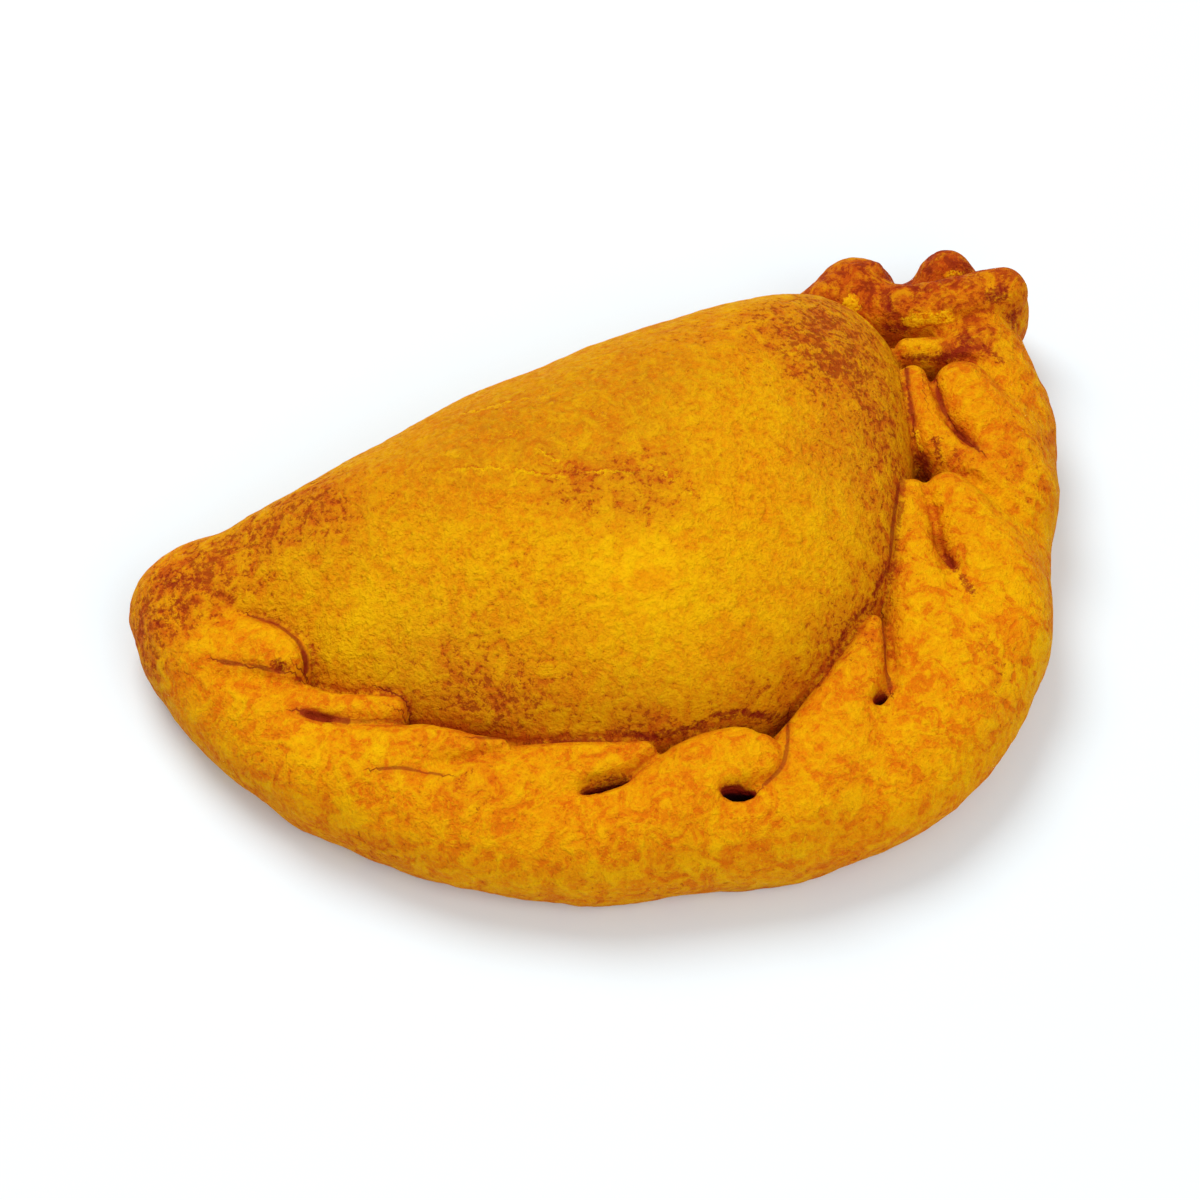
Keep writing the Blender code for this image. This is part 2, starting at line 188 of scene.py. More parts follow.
def curve(rows, count, closed=False):
    """Catmull-Rom curve through the rows."""
    rows = np.asarray(rows, float)
    n = len(rows) if closed else len(rows) - 1
    u = np.linspace(0, n, count, endpoint=not closed)
    i = np.minimum(u.astype(int), n - 1)
    t = (u - i)[:, None]
    if closed:
        a, b, c, d = (rows[(i + k) % n] for k in (-1, 0, 1, 2))
    else:
        rows = np.vstack([2 * rows[0] - rows[1], rows, 2 * rows[-1] - rows[-2]])
        a, b, c, d = (rows[i + k] for k in range(4))
    straight, bend, twist = c - a, 2 * a - 5 * b + 4 * c - d, 3 * b - a - 3 * c + d
    return b + 0.5 * (straight * t + bend * t**2 + twist * t**3)


def distance(shape, slope):
    """Distance-like value from a shape's level, 1 on its surface, and its slope."""
    return shape * (shape - 1) / (slope + 1e-9)


def blob(p, middle, radii):
    q = (p - np.array(middle)) / np.array(radii)
    return distance(np.sqrt((q**2).sum(1)), np.sqrt(((q / np.array(radii)) ** 2).sum(1)))


class Roll:
    """A tapering roll of dough along a plan curve: rows of x, y, middle height, half width, crown."""

    SKIP = 8.0              # beyond this from its plan box, a roll is only roughly far away
    FAR = 6.0

    def __init__(self, rows, count, fullness=2.0):
        self.rows = curve(rows, count)
        self.fullness = fullness
        self.low = (self.rows[:, :2] - self.rows[:, 3:4]).min(0)
        self.high = (self.rows[:, :2] + self.rows[:, 3:4]).max(0)

    def nearest(self, q):
        best, at = np.full(len(q), 1e9), np.zeros(len(q))
        for k, (a, b) in enumerate(zip(self.rows[:-1, :2], self.rows[1:, :2])):
            d = b - a
            t = np.clip(((q - a) @ d) / max(d @ d, 1e-9), 0, 1)
            r = ((q - a - t[:, None] * d) ** 2).sum(1)
            closer = r < best
            best[closer], at[closer] = r[closer], k + t[closer]
        return np.sqrt(best), at

    def field(self, p):
        """Distance-like value and the share of the way from tail to tip."""
        gap = np.maximum(np.maximum(self.low - p[:, :2], p[:, :2] - self.high), 0)
        gap = np.hypot(gap[:, 0], gap[:, 1])
        value, share = gap + self.FAR, np.zeros(len(p))
        m = gap < self.SKIP
        if m.any():
            away, at = self.nearest(p[m, :2])
            i = np.minimum(at.astype(int), len(self.rows) - 2)
            f = (at - i)[:, None]
            _, _, height, width, crown = (self.rows[i] * (1 - f) + self.rows[i + 1] * f).T
            dz = p[m, 2] - height
            crown = np.where(dz < 0, height + UNDERSIDE, crown)
            across, up = away / width, np.abs(dz) / crown
            shape = (across**self.fullness + up**self.fullness) ** (1 / self.fullness)
            value[m] = distance(shape, np.hypot(across / width, up / crown))
            share[m] = at / (len(self.rows) - 1)
        return value, share


class Empanada:
    """The whole form as a field: below zero inside, above zero outside."""

    def __init__(self):
        self.rope = Roll([(x, y, ROPE_HEIGHT, w, ROPE_CROWN) for x, y, w in ROPE], 50)
        self.folds = []
        for lift, rows in FOLDS.values():
            full = []
            for k, (x, y, w) in enumerate(rows):
                rise = 1 - (1 - k / (len(rows) - 1)) ** 2
                height = FOLD_TAIL_HEIGHT + (FOLD_TIP_RISE + lift) * rise
                full.append((x, y, height, w, FOLD_CROWN + FOLD_SWELL * w))
            self.folds.append(Roll(full, 4 * len(rows) - 2, FOLD_FULLNESS))
        edge = curve(PILLOW_EDGE, 720, closed=True) - np.array(PILLOW_MIDDLE)
        angle = np.arctan2(edge[:, 1], edge[:, 0])
        order = np.argsort(angle)
        self.angle = np.concatenate([angle[order] + turn for turn in (-2 * math.pi, 0, 2 * math.pi)])
        self.reach = np.tile(np.hypot(*edge[order].T), 3)

    def pillow(self, p):
        q = p[:, :2] - np.array(PILLOW_MIDDLE)
        edge = np.interp(np.arctan2(q[:, 1], q[:, 0]), self.angle, self.reach)
        dz = p[:, 2] - PILLOW_WAIST
        edge = edge + PILLOW_FOOT * smooth(0, -4, dz) * smooth(*FOOT_SPAN, p[:, 1])
        rise = PILLOW_RISE * (1 - PILLOW_TAPER * smooth(*TAPER_SPAN, p[:, 0]))
        rise = np.where(dz > 0, rise, PILLOW_DROP)
        out, up = np.hypot(q[:, 0], q[:, 1]) / edge, np.abs(dz) / rise
        shape = (out**PILLOW_FULLNESS + up**PILLOW_FULLNESS) ** (1 / PILLOW_FULLNESS)
        return distance(shape, np.hypot(out / edge, up / rise))

    def braid(self, p):
        """All folds and the knot, with the share of the way to the tip of the fold in front."""
        folds, share = np.full(len(p), 9.0), np.full(len(p), 1.0)
        for fold in self.folds:
            value, along = fold.field(p)
            soft = TAIL_BLEND * (1 - smooth(*TAIL_SHARE, np.maximum(share, along)))
            folds, kept = merge(folds, value, CREASE + soft)
            share = share * kept + along * (1 - kept)
        for x, y, z, *radii in KNOT:
            folds, _ = merge(folds, blob(p, (x, y, z), radii), KNOT_CREASE)
        folds, _ = merge(folds, blob(p, KNOT_FOOT[:3], KNOT_FOOT[3:]), KNOT_BLEND)
        return folds, share

    def rim(self, p):
        rope, _ = self.rope.field(p)
        folds, share = self.braid(p)
        return merge(rope, folds, RIM_CREASE + RIM_BLEND * (1 - smooth(*RIM_SHARE, share)))[0]

    def body(self, p):
        """The form before its pits, with the seam pressed in."""
        tip = smooth(*TIP_X, p[:, 0]) * smooth(*TIP_Y, p[:, 1])
        pillow, rim = self.pillow(p), self.rim(p)
        line = np.exp(-(((pillow - rim) / SEAM[1]) ** 2)) * (1 - tip)
        return merge(pillow, rim, GROOVE + TIP_BLEND * tip)[0] + SEAM[0] * line

    def value(self, p):
        out = self.body(p)
        for x, y, z, along, across, deep, turn in PITS:
            m = np.hypot(p[:, 0] - x, p[:, 1] - y) < PIT_REACH
            if m.any():
                c, s = math.cos(math.radians(turn)), math.sin(math.radians(turn))
                q = p[m] - np.array([x, y, z])
                q = np.column_stack([q[:, 0] * c + q[:, 1] * s, q[:, 1] * c - q[:, 0] * s, q[:, 2]])
                out[m] = carve(out[m], blob(q, (0, 0, 0), (along, across, deep)), PIT_EDGE)
        return np.maximum(out, -p[:, 2])


def spine():
    """Closed plan curve well inside the solid, with smoothed outward normals."""
    line = curve([row[:2] for row in ROPE[1:]] + SPINE_BACK, 2000, closed=True)
    way = np.roll(line, -1, 0) - np.roll(line, 1, 0)
    normal = np.stack([way[:, 1], -way[:, 0]], 1)
    normal /= np.linalg.norm(normal, axis=1)[:, None]
    for _ in range(60):
        normal = (np.roll(normal, 1, 0) + normal + np.roll(normal, -1, 0)) / 3
    normal /= np.linalg.norm(normal, axis=1)[:, None]
    return line, normal


def rays(blank):
    """Start, direction and length of the ray that brings each vertex of the blank to the form."""
    line, normal = spine()
    outer = line + 10 * normal
    pace = sum(np.linalg.norm(np.roll(c, -1, 0) - c, axis=1) for c in (line, outer))
    travel = np.concatenate([[0], np.cumsum(pace)])
    azimuth = (np.arctan2(blank[:, 1], blank[:, 0]) / (2 * math.pi)) % 1.0
    at = np.interp(azimuth * travel[-1], travel[:-1], np.arange(len(line)))
    i = at.astype(int)
    f = (at - i)[:, None]
    foot = line[i] * (1 - f) + line[(i + 1) % len(line)] * f
    out = normal[i] * (1 - f) + normal[(i + 1) % len(line)] * f
    out /= np.linalg.norm(out, axis=1)[:, None]

    polar = np.arccos(np.clip(blank[:, 2], -1, 1)) / math.pi
    inward = np.clip(polar / CAP, 0, 1)[:, None]
    fan = np.clip((polar - CAP) / (RIM_END - CAP), 0, 1)
    tilt = np.radians(FAN[0] + (FAN[1] - FAN[0]) * fan)
    middle = np.array(BLANK_MIDDLE)
    start = np.column_stack([middle + (foot - middle) * inward, np.where(fan > 0, ROPE_HEIGHT - 0.6, 0)])
    way = np.column_stack([out * np.cos(tilt)[:, None], np.sin(tilt)])
    return start, way, np.where(fan > 0, RIM_RAY, TOP_RAY), polar > 0.99


def press(blank, form):
    """Move every vertex of a unit UV sphere along its own ray onto the form."""
    rounds, stride, near = 80, 0.8, 0.01
    start, way, dist, pole = rays(blank)
    live = np.arange(len(dist))
    for _ in range(rounds):
        value = form.value(start[live] + way[live] * dist[live, None])
        dist[live] = np.maximum(dist[live] - stride * value, 0)
        live = live[(np.abs(value) > near) & (dist[live] > 0)]
        if not len(live):
            break
    points = start + way * dist[:, None]
    points[pole] = (*BLANK_MIDDLE, 0.0)
    return points


def settle(points, form, rounds=3):
    """Draw points back onto the form along its slope; what is near the tray lies flat on it."""
    tick, floor, stride = 0.05, 0.3, 0.3
    loose = points[:, 2] > floor
    for _ in range(rounds):
        p = points[loose]
        value = form.value(p)
        slope = np.stack([form.value(p + tick * axis) - value for axis in np.eye(3)], 1) / tick
        steep = np.sqrt((slope**2).sum(1)) + 1e-3
        points[loose] = p - slope * (np.clip(value / steep, -stride, stride) / steep)[:, None]
    points[points[:, 2] < floor, 2] = 0.0
    return points


def coordinates(mesh):
    flat = np.empty(len(mesh.vertices) * 3)
    mesh.vertices.foreach_get("co", flat)
    return flat.reshape(-1, 3)


# ---- what the baking did, with some painted light and shade: patches on the crust, millimetres and strength ----

TOASTED_AND_SHADED = [                 # toasted patches, and painted shade beside a crease at (39, -15): x, y, z, radius, strength
    (-69, 33, 16, 8, 0.95), (-73, 28, 11, 7, 0.8), (-65, 29, 19, 5, 0.5),
    (-59, 33, 21, 6, 0.7), (-52, 33, 25, 7, 0.7), (-43, 32, 28, 8, 0.55), (-33, -2, 24, 8, 0.4),
    (-22, -10, 25, 7, 0.35), (33, -4, 24, 7, 0.45), (24, 2, 29, 8, 0.3),
    (-14, 14, 37, 5, 0.5), (-9, 9.5, 37, 6, 0.6), (-3, 4, 36, 6, 0.6), (0, 9, 36, 4, 0.4),
    (-37, -5, 20, 6, 0.45), (-25, 2, 31, 6, 0.2),
    (36, 15, 28, 10, 0.9), (30, 25, 31, 9, 0.7), (40, 28, 26, 9, 0.8), (37, 5, 24, 6, 0.6),
    (15, 33, 32, 9, 0.4), (-44, 27, 29, 8, 0.3), (-42, 4, 23, 8, 0.25),
    (-31, -10, 20, 7, 0.45), (-17, -19, 19, 6, 0.5), (0, -22, 18, 6, 0.55),
    (14, -19, 19, 7, 0.75), (25, -12, 19, 7, 0.6),
    (51, 40, 15, 9, 0.9), (59, 31, 18, 8, 0.7), (66, 31, 18, 8, 0.6), (67, 37, 14, 7, 1.0),
    (71, 26, 15, 7, 0.6), (61, 19, 18, 4, 0.9), (47.5, 6, 15, 3, 0.9), (50, 13, 18, 3, 0.35),
    (62, 2, 13, 8, 0.5), (55, -6, 18, 7, 0.45), (47, 1.5, 17, 4, 0.6), (39, -15, 17.5, 3.5, 0.5),
    (35, -34, 16.5, 7, 0.35), (-44, -17, 18, 5, 0.5),
    (-38, -34, 11, 7, 0.25), (-22, -41, 10, 8, 0.3), (0, -46, 8, 8, 0.2),
    (-70, 4, 9, 6, 0.35), (-58, -16, 8, 7, 0.4), (30, -40, 8, 8, 0.25),
    (-30, 44, 12, 14, 0.45), (10, 46, 12, 14, 0.35), (40, 42, 12, 10, 0.6),
]
DULL_AND_SHADED = [                    # browner, duller dough, and painted shade on the pillow's upper back: x, y, z, radius, strength
    (-9, 25, 36, 12, 0.9), (-25, 27, 35, 11, 0.8), (9, 25, 36, 11, 0.8), (-44, 25, 29, 9, 0.4),
    (-8, 9, 36, 8, 0.4),
    (-40, 4, 24, 9, 0.4), (26, 3, 30, 9, 0.4), (2, 9, 36, 8, 0.3), (-16, -18, 20, 7, 0.35),
]
PALE_AND_HIGHLIT = [                    # paler dough, and painted highlight on the pillow's crown: x, y, z, radius, strength
    (-10, -6, 33, 11, 0.8), (-46, 13, 25, 9, 0.5), (54.6, 24, 18.5, 3, 0.4),
    (37, -30, 17, 11, 0.5), (25, -15, 17, 6, 0.4), (32, -13, 20, 6, 0.3),
    (-61, 2, 18, 6, 0.4), (-5, 20, 36, 8, 0.2),
]
REDDENED = [                # x, y, z, radius, strength
    (49, 39, 17, 7, 0.8), (56, 35, 18, 6, 1.0), (61, 32, 19, 4, 1.0), (67, 36, 16, 6, 1.0),
    (68, 28, 20, 4, 0.5), (71, 25, 17, 3, 0.5), (59, 19.5, 17.5, 3.5, 0.9), (64, 17, 18, 4, 0.5),
    (60, 40, 10, 9, 0.8), (72, 32, 10, 8, 0.7),
]
SCORCHED_AND_SHADED = [                # dark red streaks, of scorched crust and of painted shade in pits and crevices: radius, strength, then points on the crust
    # where the pillow meets the rim, left to right
    (0.9, 0.8, (-20.9, -19.7, 18.8), (-16.3, -22.4, 17.9)),
    (1.0, 0.9, (-16.3, -22.4, 17.9), (-9.8, -23.9, 18.7)),
    (1.0, 0.8, (-7.3, -23.8, 19.6), (-2.8, -24.7, 18.5)),
    (1.0, 0.9, (-2.8, -24.7, 18.5), (3.5, -26.6, 14.1)),
    (0.8, 0.8, (9.1, -25.1, 18.0), (13.2, -22.0, 18.9)),
    (0.9, 0.8, (13.2, -22.0, 18.9), (17.2, -19.3, 20.1)),
    (0.8, 0.8, (19.5, -18.1, 20.1), (23.7, -16.3, 18.2)),
    (1.0, 0.9, (24.1, -15.3, 19.5), (28.0, -12.0, 19.7)),
    # between the folds: partly dark crust, partly painted shade in pits and crevices
    (1.0, 1.0, (-60.2, 12.6, 20.0), (-59.6, 11.9, 19.8)),
    (0.8, 0.9, (37.8, -13.3, 16.9), (37.1, -21.3, 18.7)),
    (0.8, 0.8, (-27.9, -25.2, 17.4), (-25.6, -25.7, 17.4), (-22.9, -26.2, 17.0)),
    (1.5, 1.0, (44.3, 5.5, 15.4), (44.5, 3.8, 11.7)),
    (1.1, 0.5, (46.5, 5.5, 18.7), (45.5, 3.2, 17.0)),
    # the knot and the left tip
    (0.8, 1.0, (52.1, 30.6, 15.1), (54.5, 28.6, 15.4)),
    (0.8, 0.8, (50.4, 22.3, 17.8), (55.4, 20.0, 17.2)),
    (1.2, 1.0, (55.4, 20.0, 17.2), (59.3, 18.9, 18.2), (60.4, 21.1, 18.4)),
    (1.1, 0.9, (54.0, 34.6, 18.0), (52.8, 31.4, 17.5)),
    (1.2, 0.7, (59.2, 31.7, 19.4), (58.2, 32.6, 19.4)),
    (1.4, 0.9, (67.2, 25.3, 19.9), (69.5, 25.4, 20.1)),
    (1.0, 0.9, (70.1, 23.2, 16.0), (70.4, 22.6, 14.8)),
    (1.4, 0.7, (67.9, 36.0, 16.4), (69.0, 35.4, 15.0)),
    (1.0, 0.5, (62.4, 18.4, 18.3), (63.5, 14.6, 17.7)),
    (1.8, 0.6, (-69.1, 35.4, 18.0), (-64.8, 31.9, 20.1)),
    (1.6, 0.5, (-72.0, 29.5, 17.1), (-68.4, 29.4, 18.8)),
]
CREASES = [                 # fine dark lines in the creases, partly dark crust and partly painted shade: half width, strength, then points on the crust
    # where the pillow meets the rim, left to right
    (0.6, 0.7, (-59.3, 22.6, 19.4), (-56.4, 18.2, 19.9), (-55.6, 13.5, 19.7)),
    (0.7, 0.9, (-55.6, 13.5, 19.7), (-56.2, 11.3, 17.3)),
    (0.4, 0.8, (-47.6, 2.5, 18.7), (-46.3, 0.6, 19.1), (-45.7, -1.1, 18.3), (-45.9, -2.1, 16.7)),
    (0.5, 0.6, (-39.1, -11.4, 18.8), (-29.9, -15.7, 17.4), (-21.8, -20.4, 18.4)),
    (0.6, 0.7, (28.5, -11.4, 19.8), (31.3, -7.3, 20.8), (36.4, -0.4, 20.5)),
    (0.5, 0.8, (48.9, 19.4, 19.3), (46.8, 14.9, 19.4), (44.8, 9.7, 18.5)),
    # between the folds
    (0.4, 0.7, (-66.9, 17.6, 18.8), (-62.2, 13.7, 19.2), (-57.6, 10.6, 17.1)),
    (0.7, 0.8, (-59.8, 4.8, 17.7), (-56.8, 2.9, 16.8), (-54.3, 0.5, 17.3)),
    (0.4, 0.4, (-54.3, 0.5, 17.3), (-47.7, -2.6, 17.0)),
    (0.3, 0.6, (-54.1, -9.4, 18.4), (-50.8, -10.9, 18.2), (-46.7, -14.0, 18.0)),
    (0.35, 0.6, (3.8, -26.2, 14.2), (0.9, -30.9, 18.4), (-2.3, -35.3, 18.8), (-5.9, -36.6, 17.9)),
    (0.5, 0.7, (24.7, -16.4, 17.0), (21.4, -22.7, 18.4), (18.7, -29.6, 16.7)),
    (0.5, 0.8, (52.6, 16.7, 17.6), (50.6, 11.2, 18.4), (50.6, 7.0, 17.0), (51.2, 1.4, 19.0)),
]
CRUMBS = [                  # torn edges that stayed raw: radius, strength, then points
    (1.8, 1.0, (48.5, 36.1, 16.9), (47.3, 29.0, 20.7)),
    (1.2, 1.0, (54.8, 28.8, 16.8), (57.5, 27.6, 17.6), (60.2, 26.1, 17.8)),
    (1.0, 0.5, (57.6, 28.0, 18.2), (58.8, 28.7, 19.3)),
    (0.9, 0.55, (65.5, 34.9, 15.9), (67.6, 34.5, 15.7)),
    (0.8, 0.9, (44.5, 9.0, 18.2), (44.3, 6.6, 16.9)),
]
CRACKS = [                  # hairlines on top of the pillow: x, y
    [(-30, 25), (-25, 22), (-20, 19.5), (-15, 15), (-10, 13), (-5, 10.5), (0, 7.5)],
    [(-22, 35), (-18, 32.5), (-13, 31), (-8.5, 28.5)],
    [(-14, 20.5), (-13, 17), (-11, 13.5)],
    [(-2, 10), (2, 5.5), (3, 1)],
]
SEAM_SCORCH = 1.0           # half width of the dark line where the rim meets the pillow
FOOT_BROWNING_AND_SHADE = (4.5, 0.35)    # browning and painted shade of the pillow beside the rim: half width, strength
EDGE_TOAST, UNDER_TOAST = 0.18, 0.4     # browning low on the rim, and of the underside
PIT_FULL = 2.4              # depth at which a pit's painted shade is full
LINE_FAR = 4.0              # half widths past which a fine line is no longer followed


def near_spots(points, rows):
    """Sum of soft round patches."""
    total = np.zeros(len(points))
    for x, y, z, radius, strength in rows:
        away = ((points - np.array([x, y, z])) ** 2).sum(1) / radius**2
        total += strength * np.exp(-away)
    return total


def near_streaks(points, rows):
    """How close each point is to the nearest streak, 0 to that streak's strength."""
    total = np.zeros(len(points))
    for radius, strength, *path in rows:
        for a, b in zip(np.array(path[:-1]), np.array(path[1:])):
            d = b - a
            t = np.clip(((points - a) @ d) / (d @ d), 0, 1)
            away = ((points - a - t[:, None] * d) ** 2).sum(1) / radius**2
            total = np.maximum(total, strength * np.exp(-away))
    return total


def beside_creases(points, rows):
    """Signed distance to the nearest fine line, in half widths of it, and its strength there."""
    nearest, side = np.full(len(points), 1e6), np.full(len(points), LINE_FAR)
    strength = np.zeros(len(points))
    for width, depth, *path in rows:
        line = curve(path, 6 * len(path))
        for a, b in zip(line[:-1], line[1:]):
            d = b - a
            t = np.clip(((points - a) @ d) / (d @ d), 0, 1)
            gap = points - a - t[:, None] * d
            away = np.sqrt((gap**2).sum(1))
            closer = away < nearest
            nearest[closer] = away[closer]
            turn = np.sign(d[0] * gap[closer, 1] - d[1] * gap[closer, 0])
            side[closer] = turn * np.minimum(away[closer] / width, LINE_FAR)
            strength[closer] = depth * smooth(3.0, 1.5, away[closer])
    return side, strength


def crack_distance(points):
    """Signed plan distance to the nearest hairline, and how much of a hairline is there."""
    q = points[:, :2]
    nearest, sign, strength = np.full(len(q), 1e6), np.ones(len(q)), np.zeros(len(q))
    for rows in CRACKS:
        line = curve(rows, 6 * len(rows))
        for k, (a, b) in enumerate(zip(line[:-1], line[1:])):
            d = b - a
            t = np.clip(((q - a) @ d) / (d @ d), 0, 1)
            gap = q - a - t[:, None] * d
            away = (gap**2).sum(1)
            closer = away < nearest
            nearest[closer] = away[closer]
            sign[closer] = np.sign(d[0] * gap[closer, 1] - d[1] * gap[closer, 0])
            along = (k + t[closer]) / (len(line) - 1)
            strength[closer] = np.minimum(1, 5 * np.minimum(along, 1 - along))
    away = np.sqrt(nearest)
    top = smooth(26, 30, points[:, 2])
    return sign * np.minimum(away, 4), strength * top * smooth(3, 1, away)


def lumps(points, size, octaves, seed):
    """Fractal noise about zero, features `size` mm across."""
    shift = Vector((17.3 * seed, 5.1 * seed, -9.7 * seed))
    return np.array([noise.fractal(Vector(p) / size + shift, 1.0, 2.0, octaves) for p in points])


def normals_of(mesh):
    flat = np.empty(len(mesh.vertices) * 3)
    mesh.vertices.foreach_get("normal", flat)
    return flat.reshape(-1, 3)


def store(mesh, name, values):
    layer = mesh.attributes.new(name, "FLOAT", "POINT")
    layer.data.foreach_set("value", np.asarray(values, np.float32))


def bake_facts(mesh, points, form):
    """Per-vertex facts the crust's material reads."""
    normal = normals_of(mesh)
    pillow, rim = form.pillow(points), form.rim(points)
    other = np.maximum(pillow, rim)
    on_rim = smooth(-0.6, 0.6, pillow - rim)
    # the hollow and shade measures say how closed in the skin is; the material turns them into painted
    # shade
    hollow_shade = 1 - form.value(points + NEAR_REACH * normal) / NEAR_REACH
    shade = 1 - form.value(points + FAR_REACH * normal) / FAR_REACH
    foot = (1 - on_rim) * np.exp(-((other / FOOT_BROWNING_AND_SHADE[0]) ** 2))
    seam = np.exp(-((other / SEAM_SCORCH) ** 2)) * smooth(-3.0, 0.0, rim - pillow)
    under = smooth(4.0, 0.0, points[:, 2])
    low_edge = smooth(12.0, 5.0, points[:, 2]) * on_rim
    toast_and_shade = near_spots(points, TOASTED_AND_SHADED)
    toast_and_shade = toast_and_shade + FOOT_BROWNING_AND_SHADE[1] * foot + EDGE_TOAST * low_edge + UNDER_TOAST * under
    side, strength = crack_distance(points)
    above = points[:, 2] > 3
    store(mesh, "pit", smooth(0.0, PIT_FULL, -form.body(points)) * above)
    store(mesh, "toast_and_shade", np.clip(toast_and_shade, 0, 1.3))
    store(mesh, "dull_and_shaded", np.clip(near_spots(points, DULL_AND_SHADED), 0, 1))
    store(mesh, "pale_and_highlit", np.clip(near_spots(points, PALE_AND_HIGHLIT), 0, 1))
    store(mesh, "red", np.clip(near_spots(points, REDDENED), 0, 1) * on_rim)
    store(mesh, "rim", on_rim)
    store(mesh, "hollow_shade", np.clip(hollow_shade, 0, 1) * above)
    store(mesh, "shade", np.clip(shade, 0, 1) * above)
    store(mesh, "seam", seam * above)
    store(mesh, "crumb", near_streaks(points, CRUMBS))
    store(mesh, "scorch_and_shade", near_streaks(points, SCORCHED_AND_SHADED))
    line_side, line = beside_creases(points, CREASES)
    store(mesh, "line_side", line_side)
    store(mesh, "line", line)
    store(mesh, "crack_side", side)
    store(mesh, "crack", strength)


def apply_modifier(piece, kind, **settings):
    modifier = piece.modifiers.new(kind.title(), kind)
    for name, value in settings.items():
        setattr(modifier, name, value)
    bpy.context.view_layer.objects.active = piece
    bpy.ops.object.modifier_apply(modifier=modifier.name)


def triangle_count(mesh):
    mesh.calc_loop_triangles()
    return len(mesh.loop_triangles)


def make_crust():
    form = Empanada()
    bpy.ops.mesh.primitive_uv_sphere_add(segments=SEGMENTS, ring_count=RINGS, radius=1)
    piece = bpy.context.object
    piece.name = piece.data.name = "baked_crust"
    piece.data.vertices.foreach_set("co", (press(coordinates(piece.data), form) * MM).ravel())
    apply_modifier(piece, "REMESH", mode="VOXEL", voxel_size=VOXEL * MM)
    mesh = piece.data
    points = settle(coordinates(mesh) / MM, form)
    mesh.vertices.foreach_set("co", (points * MM).ravel())
    apply_modifier(piece, "SMOOTH", factor=0.5, iterations=2)
    mesh = piece.data
    points = coordinates(mesh) / MM

    normal = normals_of(mesh)
    free = smooth(0.0, 2.0, points[:, 2])
    open_skin = free * smooth(0.35, 0.05, 1 - form.value(points + NEAR_REACH * normal) / NEAR_REACH)
    rise = np.zeros(len(points))
    upper = points[:, 2] > 0.3
    rise[upper] = sum(height * lumps(points[upper], *rest) for height, *rest in SKIN_RELIEF)
    crown = np.clip(near_spots(points, REDDENED), 0, 1)
    knotty = (crown > 0.02) & upper
    height, *rest = KNOT_RELIEF
    rise[knotty] += height * crown[knotty] * lumps(points[knotty], *rest)
    bake_facts(mesh, points, form)
    points = points + normal * (rise * open_skin)[:, None]
    points[:, 2] = np.maximum(points[:, 2], 0)
    mesh.vertices.foreach_set("co", (points * MM).ravel())
    mesh.update()
    apply_modifier(piece, "DECIMATE", ratio=min(1.0, TRIANGLES / triangle_count(mesh)))

    mesh = piece.data
    points = coordinates(mesh)
    low, high = points.min(0), points.max(0)
    cad_low, cad_high = (np.array(corner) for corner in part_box("crust"))
    shift = (cad_low + cad_high) / 2 - (low + high) / 2
    shift[2] = -low[2]
    mesh.vertices.foreach_set("co", (points + shift).ravel())
    mesh.shade_smooth()
    mesh.update()
    return piece, shift


# ---- material ----

def linear(red, green, blue):
    """A display colour, 0 to 255, as the shader's own light values."""
    parts = [c / 255 for c in (red, green, blue)]
    return tuple(c / 12.92 if c <= 0.04045 else ((c + 0.055) / 1.055) ** 2.4 for c in parts) + (1.0,)


LEMON = linear(234, 182, 2)
GOLD = linear(227, 164, 2)
HONEY = linear(225, 144, 3)
AMBER = linear(218, 116, 5)
TOAST = linear(188, 80, 9)
EMBER = linear(208, 88, 6)
UMBER = linear(140, 44, 12)
RUSSET = linear(184, 68, 12)
OCHRE = linear(176, 102, 14)
OXBLOOD = linear(130, 28, 16)
# painted shade at the bottom of pits
PIT_SHADOW_BLACK = linear(44, 8, 14)
CRUMB = linear(246, 188, 8)

# Noises of the crust: size of their features in mm, detail, roughness, warp, shift.
BROAD = (13, 3, 0.6, 0.0, 0.0)
BLOTCH = (6.0, 4, 0.62, 0.8, 40)
SMUDGE = (3.6, 4, 0.65, 1.0, 83)
MOTTLE = (2.1, 4, 0.66, 0.3, 61)
GRAIN = (0.95, 3, 0.70, 0.2, 7)
FLAKE = (0.55, 2, 0.6, 0.0, 23)
EDGE_HIGHLIGHT_NOISE = (2.4, 4, 0.6, 0.0, 95)
WANDER = (3.0, 5, 0.75, 0.0, 61)

# Relief in the shader, as shares of RELIEF_DEPTH: below zero presses in.
RELIEF_DEPTH = 1.0 * MM
MOTTLE_RELIEF, GRAIN_RELIEF, FLAKE_RELIEF, SMUDGE_RELIEF = -0.7, -0.7, -0.25, -0.6
TORN_RELIEF, LINE_RELIEF = 0.15, -0.25


